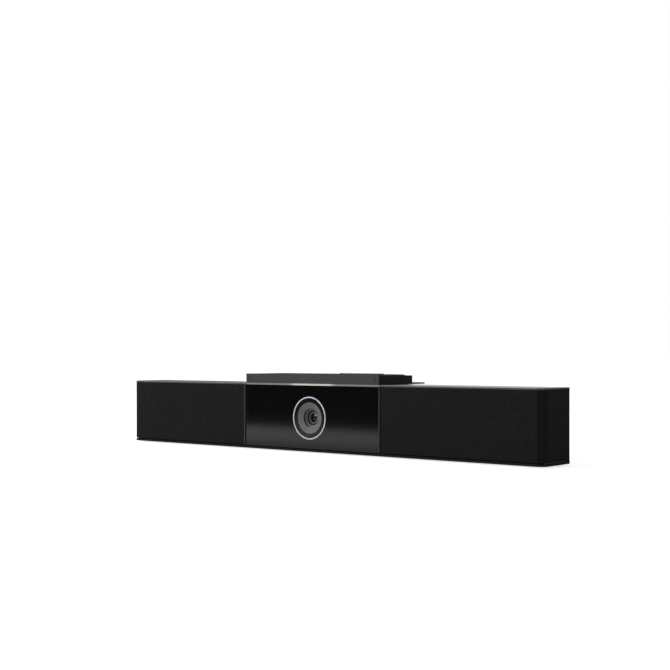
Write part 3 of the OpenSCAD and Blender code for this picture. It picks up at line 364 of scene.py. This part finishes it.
# Plain woven polyester: matt, with the tiny checker of threads over and under each other.
# The real pitch is about 0.5 mm, drawn at 0.9 mm so that it shows at all from the photo's distance.
cloth = {"valley": "#101012", "crown": "#242427", "from": 0.35, "to": 0.95, "pitch": 0.9, "depth": 0.12,
         "unevenness": 0.35, "patches": 1.3, "Sheen Weight": 0.03, "Sheen Roughness": 0.4}
made["cloth"], tree, shader = finish(name="woven acoustic cloth", color=cloth["crown"], roughness=0.9,
                                     specular=0.08)[:3]
for label in ("Sheen Weight", "Sheen Roughness"):
    shader.inputs[label].default_value = cloth[label]
weaveMap = add(tree, "ShaderNodeUVMap", uv_map="threads").outputs["UV"]
threads = add(tree, "ShaderNodeMapping", {"Scale": (metre / cloth["pitch"],) * 3}, {"Vector": weaveMap})
axes = add(tree, "ShaderNodeSeparateXYZ", links={"Vector": threads.outputs[0]})
checker = add(tree, "ShaderNodeTexChecker", {"Scale": 1.0, "Color1": (1, 1, 1, 1), "Color2": (0, 0, 0, 1)},
              {"Vector": threads.outputs[0]})
ridges = []
for axis in ("X", "Y"):
    half = add(tree, "ShaderNodeMath", {1: math.pi}, {0: axes.outputs[axis]}, operation="MULTIPLY")
    wave = add(tree, "ShaderNodeMath", links={0: half.outputs[0]}, operation="SINE")
    ridges.append(add(tree, "ShaderNodeMath", links={0: wave.outputs[0]}, operation="ABSOLUTE"))
height = add(tree, "ShaderNodeMix", links={"Factor": checker.outputs["Fac"], "A": ridges[0].outputs[0],
             "B": ridges[1].outputs[0]})
strands = add(tree, "ShaderNodeTexNoise", {"Scale": cloth["patches"], "Detail": 2.0},
              {"Vector": threads.outputs[0]})
uneven = add(tree, "ShaderNodeMath", {2: cloth["unevenness"]}, {0: strands.outputs["Fac"],
             1: height.outputs[0]}, operation="MULTIPLY_ADD")
# random tone in the yarn mixed with painted shade: the colour is darker in the valleys between the threads
yarnToneAndShade = add(tree, "ShaderNodeValToRGB", links={"Fac": uneven.outputs[0]})
for stop, position, code in zip(yarnToneAndShade.color_ramp.elements, ("from", "to"), ("valley", "crown")):
    stop.position = cloth[position]
    stop.color = linear(cloth[code])
tree.links.new(yarnToneAndShade.outputs["Color"], shader.inputs["Base Color"])
knit = add(tree, "ShaderNodeBump", {"Strength": 1.0, "Distance": cloth["depth"] * mm},
           {"Height": height.outputs[0]})
tree.links.new(knit.outputs["Normal"], shader.inputs["Normal"])
print("materials ready")

finishOf = {
    "coverAbs": ["top_cover"],
    "baseAbs": ["bottom_cover"],
    "housingAbs": ["rear_housing"],
    "frameAbs": ["left_grille_frame", "right_grille_frame"],
    "trimAbs": ["panel_trims"],
    "carrierAbs": ["panel_carrier", "lens_holder"],
    "acrylic": ["front_window"],
    "guide": ["light_bar"],
    "board": ["led_board", "camera_board", "microphone_boards", "main_board", "port_board"],
    "ledSilicone": ["status_leds"],
    "ring": ["lens_ring"],
    "bezelPc": ["lens_bezel"],
    "hood": ["lens_hood"],
    "lens": ["lens_front_element", "inner_lens_elements"],
    "anodisedGrey": ["lens_barrel"],
    "sensorGlass": ["image_sensor"],
    "film": ["camera_ribbon"],
    "bareAluminium": ["chassis", "heat_sink"],
    "brass": ["microphones", "tripod_insert", "wall_inserts"],
    "boxAbs": ["left_speaker_box", "right_speaker_box"],
    "basketLacquer": ["left_speaker_basket", "right_speaker_basket"],
    "ferrite": ["left_speaker_magnet", "right_speaker_magnet"],
    "paper": ["left_speaker_cone", "right_speaker_cone"],
    "rubber": ["left_speaker_surround", "right_speaker_surround", "rubber_feet", "clamp_top_pad"],
    "chip": ["board_chips"],
    "platedSteel": ["usb_c_port", "button_switch", "security_plate", "bracket_screws"],
    "jackNylon": ["dc_jack"],
    "buttonAbs": ["reset_button"],
    "blackScrew": ["housing_screws"],
    "bracketCoat": ["clamp_base_plate"],
    "clampPlastic": ["clamp_block"],
    "clampFront": ["clamp_front_plate"],
    "groundSteel": ["clamp_hinge_pin", "clamp_foot_pin"],
    "legCoat": ["clamp_leg", "clamp_foot"],
    "gel": ["clamp_foot_pad"],
}
for key, names in finishOf.items():
    for name in names:
        mesh = nodes[name].data
        mesh.materials.clear()
        mesh.materials.append(made[key])

# Grille cloths, each one sheet stretched over its frame and round the front corner

# in mm, apart from the numbers of steps and the seam's place and half width, in degrees round the corner
sheet = {"thickness": 0.7, "edge": 0.3, "edgeSteps": 4, "faceSteps": 12, "corner": 6.9, "cornerSteps": 45,
         "along": 4.0, "clear": 0.03, "seamAt": 27, "seamHalf": 7, "seamDepth": 0.6}


def grilleSheet(side, node):
    lo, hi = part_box(node)
    lo, hi = lo / mm, hi / mm
    inner, outer = (lo.x, hi.x) if side > 0 else (-hi.x, -lo.x)
    front, back = lo.y, hi.y
    bottom, top = lo.z + sheet["clear"], hi.z - sheet["clear"]
    radius = sheet["corner"]
    # each step along the path: x, y, outward direction, and how deep the seam draws the face in
    run = outer - radius - inner
    steps = round(run / sheet["along"])
    path = [(inner + run * i / steps, front, 0, -1, 0) for i in range(steps + 1)]
    for i in range(1, sheet["cornerSteps"] + 1):
        angle = math.pi / 2 * i / sheet["cornerSteps"]
        nx, ny = math.sin(angle), -math.cos(angle)
        off = min(1, abs(math.degrees(angle) - sheet["seamAt"]) / sheet["seamHalf"])
        tuck = sheet["seamDepth"] * (1 + math.cos(math.pi * off)) / 2
        path.append((outer - radius + radius * nx, front + radius + radius * ny, nx, ny, tuck))
    run = back - front - radius
    steps = round(run / sheet["along"])
    path += [(outer, front + radius + run * i / steps, 1, 0, 0) for i in range(1, steps + 1)]
    # cross-section: depth inward from the outer face, and height
    bend = sheet["edge"]
    angles = [math.pi / 2 * k / sheet["edgeSteps"] for k in range(sheet["edgeSteps"], -1, -1)]
    turn = [(bend - bend * math.cos(angle), bend - bend * math.sin(angle)) for angle in angles]
    flat = top - bottom - 2 * bend
    section = [(sheet["thickness"], bottom)] + [(deep, bottom + high) for deep, high in turn]
    section += [(0, bottom + bend + flat * k / sheet["faceSteps"]) for k in range(1, sheet["faceSteps"])]
    section += [(deep, top - high) for deep, high in reversed(turn)] + [(sheet["thickness"], top)]
    vertices, lengths = [], [0.0]
    for k in range(1, len(path)):
        lengths.append(lengths[-1] + math.dist(path[k][:2], path[k - 1][:2]))
    for x, y, nx, ny, tuck in path:
        vertices += [(side * (x - nx * max(deep, tuck)), y - ny * max(deep, tuck), z) for deep, z in section]
    count = len(section)
    faces = []
    for i in range(len(path) - 1):
        for j in range(count):
            quad = [i * count + j, i * count + (j + 1) % count,
                    (i + 1) * count + (j + 1) % count, (i + 1) * count + j]
            faces.append(quad if side < 0 else quad[::-1])
    ends = [list(range(count)), [(len(path) - 1) * count + j for j in range(count)][::-1]]
    faces += [end if side > 0 else end[::-1] for end in ends]
    piece = meshObject(f"{'right' if side > 0 else 'left'}GrilleSheet", vertices, faces, made["cloth"])
    rim = [set(end) for end in ends]
    for edge in piece.data.edges:
        edge.use_edge_sharp = any(set(edge.vertices) <= end for end in rim)  # crisp ends
    uv = piece.data.uv_layers.new(name="threads")
    for loop in piece.data.loops:
        i, j = divmod(loop.vertex_index, count)
        uv.data[loop.index].uv = (lengths[i] * mm, section[j][1] * mm)
    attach(piece, "bar")
    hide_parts(node)
    print(piece.name, "flat size", round(lengths[-1], 1), "x", round(top - bottom, 1), "mm")


grilleSheet(-1, "left_grille_cloth")
grilleSheet(1, "right_grille_cloth")
print("grille cloths ready")

# Pads of the clamp: ribbed rubber on the block, and studded gel on the foot

# Steps round a corner, sides of a rib or stud, how many times wider a stud is at its foot than at its top,
# and the distance in mm under which vertices join
padMesh = {"cornerSteps": 5, "sides": 10, "foot": 2.2, "weld": 0.01}


def padTree(name, material, raised):
    # A rounded slab whose top carries ribs along X, half sunk in it, or studs on a grid
    tree = bpy.data.node_groups.new(name, "GeometryNodeTree")
    for label in ("Width", "Length", "Thickness", "Corner", "Pitch", "Margin", "Raised"):
        tree.interface.new_socket(name=label, in_out="INPUT", socket_type="NodeSocketFloat")
    tree.interface.new_socket(name="Geometry", in_out="OUTPUT", socket_type="NodeSocketGeometry")
    size = add(tree, "NodeGroupInput").outputs
    outline = add(tree, "GeometryNodeCurvePrimitiveQuadrilateral",
                  links={"Width": size["Width"], "Height": size["Length"]})
    rounded = add(tree, "GeometryNodeFilletCurve", {"Count": padMesh["cornerSteps"]},
                  {"Curve": outline.outputs[0], "Radius": size["Corner"]}, mode="POLY")
    face = add(tree, "GeometryNodeFillCurve", links={"Curve": rounded.outputs[0]}, mode="NGONS")
    up = add(tree, "ShaderNodeCombineXYZ", links={"Z": size["Thickness"]})
    slab = add(tree, "GeometryNodeExtrudeMesh", {"Individual": False}, {"Mesh": face.outputs[0],
               "Offset": up.outputs[0]})
    under = add(tree, "GeometryNodeFlipFaces", links={"Mesh": face.outputs[0]})
    roomX, roomY, countX, countY = [add(tree, "ShaderNodeMath", links={0: size[first], 1: size[second]},
                                        operation=kind) for first, second, kind in
                                    (("Width", "Margin", "SUBTRACT"), ("Length", "Margin", "SUBTRACT"),
                                     ("Width", "Pitch", "DIVIDE"), ("Length", "Pitch", "DIVIDE"))]
    if raised == "ribs":
        points = add(tree, "GeometryNodeMeshGrid", {"Size X": 0.0, "Vertices X": 1}, {
                     "Size Y": roomY.outputs[0], "Vertices Y": countY.outputs[0]})
        half = add(tree, "ShaderNodeMath", {1: 0.5}, {0: roomX.outputs[0]}, operation="MULTIPLY")
        back = add(tree, "ShaderNodeMath", {1: -0.5}, {0: roomX.outputs[0]}, operation="MULTIPLY")
        start, end = [add(tree, "ShaderNodeCombineXYZ", links={"X": x.outputs[0]}) for x in (back, half)]
        line = add(tree, "GeometryNodeCurvePrimitiveLine",
                   links={"Start": start.outputs[0], "End": end.outputs[0]})
        ring = add(tree, "GeometryNodeCurvePrimitiveCircle", {"Resolution": padMesh["sides"]},
                   {"Radius": size["Raised"]})
        bump = add(tree, "GeometryNodeCurveToMesh", {"Fill Caps": True}, {"Curve": line.outputs[0],
                   "Profile Curve": ring.outputs[0]})
    else:
        points = add(tree, "GeometryNodeMeshGrid",
                     links={"Size X": roomX.outputs[0], "Size Y": roomY.outputs[0],
                            "Vertices X": countX.outputs[0], "Vertices Y": countY.outputs[0]})
        foot = add(tree, "ShaderNodeMath", {1: padMesh["foot"]}, {0: size["Raised"]}, operation="MULTIPLY")
        bump = add(tree, "GeometryNodeMeshCone", {"Vertices": padMesh["sides"]},
                   {"Radius Top": size["Raised"], "Radius Bottom": foot.outputs[0], "Depth": size["Raised"]})
    spread = add(tree, "GeometryNodeInstanceOnPoints", links={"Points": points.outputs["Mesh"],
                 "Instance": bump.outputs[0]})
    lifted = add(tree, "GeometryNodeTransform", links={"Geometry": spread.outputs[0],
                 "Translation": up.outputs[0]})
    whole = add(tree, "GeometryNodeJoinGeometry")
    for part in (slab.outputs["Mesh"], under.outputs[0], lifted.outputs[0]):
        tree.links.new(part, whole.inputs[0])
    real = add(tree, "GeometryNodeRealizeInstances", links={"Geometry": whole.outputs[0]})
    joined = add(tree, "GeometryNodeMergeByDistance", {"Distance": padMesh["weld"] * mm},
                 {"Geometry": real.outputs[0]})
    coated = add(tree, "GeometryNodeSetMaterial", {"Material": material}, {"Geometry": joined.outputs[0]})
    add(tree, "NodeGroupOutput", links={"Geometry": coated.outputs[0]})
    return tree


def pad(name, node, body, tree, sizes, facing):
    # Fits the pad to the node's box: its own Z is turned to face out of the clamp
    lo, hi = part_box(node)
    middle, span = (lo + hi) / 2, hi - lo
    length, thick = (span.y, span.z) if facing == "up" else (span.z, span.y)
    raised = sizes["Raised"] * mm
    values = {"Width": span.x, "Length": length, "Thickness": thick - raised, "Raised": raised}
    values.update({key: sizes[key] * mm for key in ("Corner", "Pitch", "Margin")})
    piece = bpy.data.objects.new(name, bpy.data.meshes.new(name))
    scene.collection.objects.link(piece)
    modifier = piece.modifiers.new(name, "NODES")
    modifier.node_group = tree
    for socket in tree.interface.items_tree:
        if socket.name in values:
            modifier[socket.identifier] = values[socket.name]
    shape = bpy.data.meshes.new_from_object(piece.evaluated_get(bpy.context.evaluated_depsgraph_get()))
    piece.modifiers.clear()
    if facing == "up":
        place = Matrix.Translation((middle.x, middle.y, lo.z))
    else:
        place = Matrix.Translation((middle.x, lo.y, middle.z)) @ Matrix.Rotation(math.radians(-90), 4, "X")
    shape.transform(place)
    piece.data = shape
    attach(piece, body)
    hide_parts(node)
    print(name, len(shape.polygons), "faces")


# in mm
topPad = {"Corner": 1.2, "Pitch": 2.4, "Margin": 3.0, "Raised": 0.35}
footPad = {"Corner": 3.0, "Pitch": 2.6, "Margin": 4.0, "Raised": 0.4}
pad("clampRibbedPad", "clamp_top_pad", "bar",
    padTree("ribbed pad", made["rubber"], "ribs"), topPad, "up")
pad("clampStuddedPad", "clamp_foot_pad", "foot",
    padTree("studded pad", made["gel"], "studs"), footPad, "back")
print("clamp pads ready")
